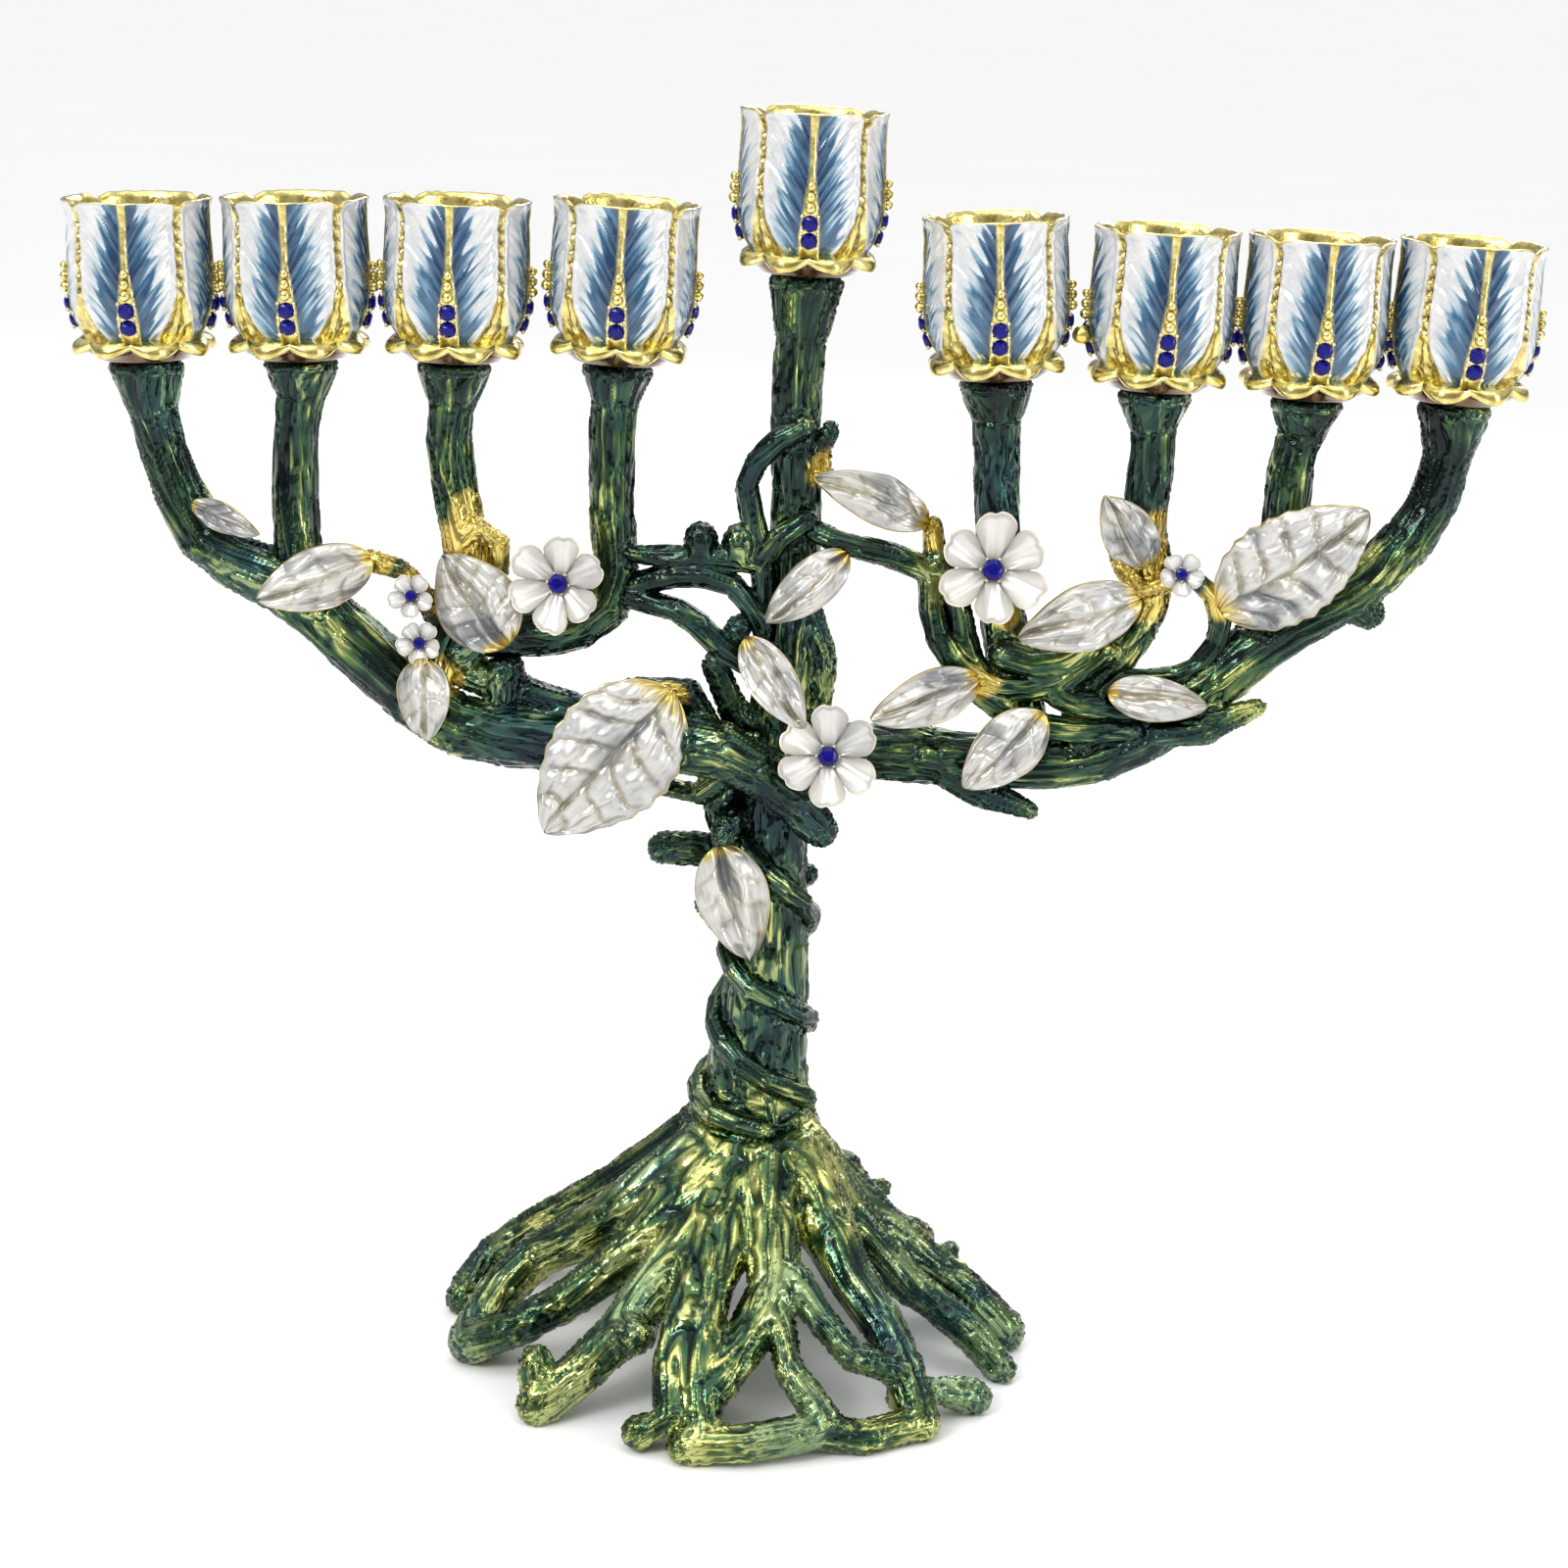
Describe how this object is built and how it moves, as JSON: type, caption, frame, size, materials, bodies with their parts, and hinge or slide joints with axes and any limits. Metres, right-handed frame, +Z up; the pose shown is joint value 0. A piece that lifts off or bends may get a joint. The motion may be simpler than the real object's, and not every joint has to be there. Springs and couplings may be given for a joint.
{
  "type": "nine-branch candelabrum",
  "caption": "Tree-shaped candelabrum in enamelled, gold-plated cast metal: petal cups on branching stems in one plane, over open roots.",
  "frame": {"origin": "on the table under the middle of the bounding box", "axes": "+X along the row of cups, -Y the front with the flowers, +Z up"},
  "size_m": [0.2498, 0.1088, 0.2207],
  "materials": {
    "bark_enamel": "glossy translucent green enamel over gold-plated cast bark",
    "vine_enamel": "glossy translucent green enamel over gold plate, lighter than the bark",
    "gold_plate": "polished gold plate",
    "cup_enamel": "pearl white enamel with blue feather strokes and gold ribs",
    "pearl_enamel": "pearl white enamel with gold edges and veins",
    "blue_crystal": "faceted deep blue crystal"
  },
  "bodies": {
    "root": {"candle_cup_1": "cup_enamel", "candle_cup_2": "cup_enamel", "candle_cup_3": "cup_enamel", "candle_cup_4": "cup_enamel", "candle_cup_5": "cup_enamel", "candle_cup_6": "cup_enamel", "candle_cup_7": "cup_enamel", "candle_cup_8": "cup_enamel", "candle_cup_9": "cup_enamel", "candle_socket_1": "gold_plate", "candle_socket_2": "gold_plate", "candle_socket_3": "gold_plate", "candle_socket_4": "gold_plate", "candle_socket_5": "gold_plate", "candle_socket_6": "gold_plate", "candle_socket_7": "gold_plate", "candle_socket_8": "gold_plate", "candle_socket_9": "gold_plate", "flower_1": "pearl_enamel", "flower_1_stone": "blue_crystal", "flower_2": "pearl_enamel", "flower_2_stone": "blue_crystal", "flower_3": "pearl_enamel", "flower_3_stone": "blue_crystal", "flower_4": "pearl_enamel", "flower_4_stone": "blue_crystal", "flower_5": "pearl_enamel", "flower_5_stone": "blue_crystal", "flower_6": "pearl_enamel", "flower_6_stone": "blue_crystal", "leaf_left_1": "pearl_enamel", "leaf_left_2": "pearl_enamel", "leaf_left_3": "pearl_enamel", "leaf_left_4": "pearl_enamel", "leaf_left_5": "pearl_enamel", "leaf_left_6": "pearl_enamel", "leaf_left_7": "pearl_enamel", "leaf_right_1": "pearl_enamel", "leaf_right_2": "pearl_enamel", "leaf_right_3": "pearl_enamel", "leaf_right_4": "pearl_enamel", "leaf_right_5": "pearl_enamel", "leaf_right_6": "pearl_enamel", "leaf_right_7": "pearl_enamel", "leaf_right_8": "pearl_enamel", "left_bough": "bark_enamel", "right_bough": "bark_enamel", "right_vine": "vine_enamel", "ring_tendril": "vine_enamel", "root_base": "bark_enamel", "stem_2": "bark_enamel", "stem_3": "bark_enamel", "stem_4": "bark_enamel", "stem_6": "bark_enamel", "stem_7": "bark_enamel", "stem_8": "bark_enamel", "trunk": "bark_enamel", "trunk_cord_a": "vine_enamel", "trunk_cord_b": "vine_enamel", "upper_vine": "vine_enamel"}
  },
  "joints": []
}
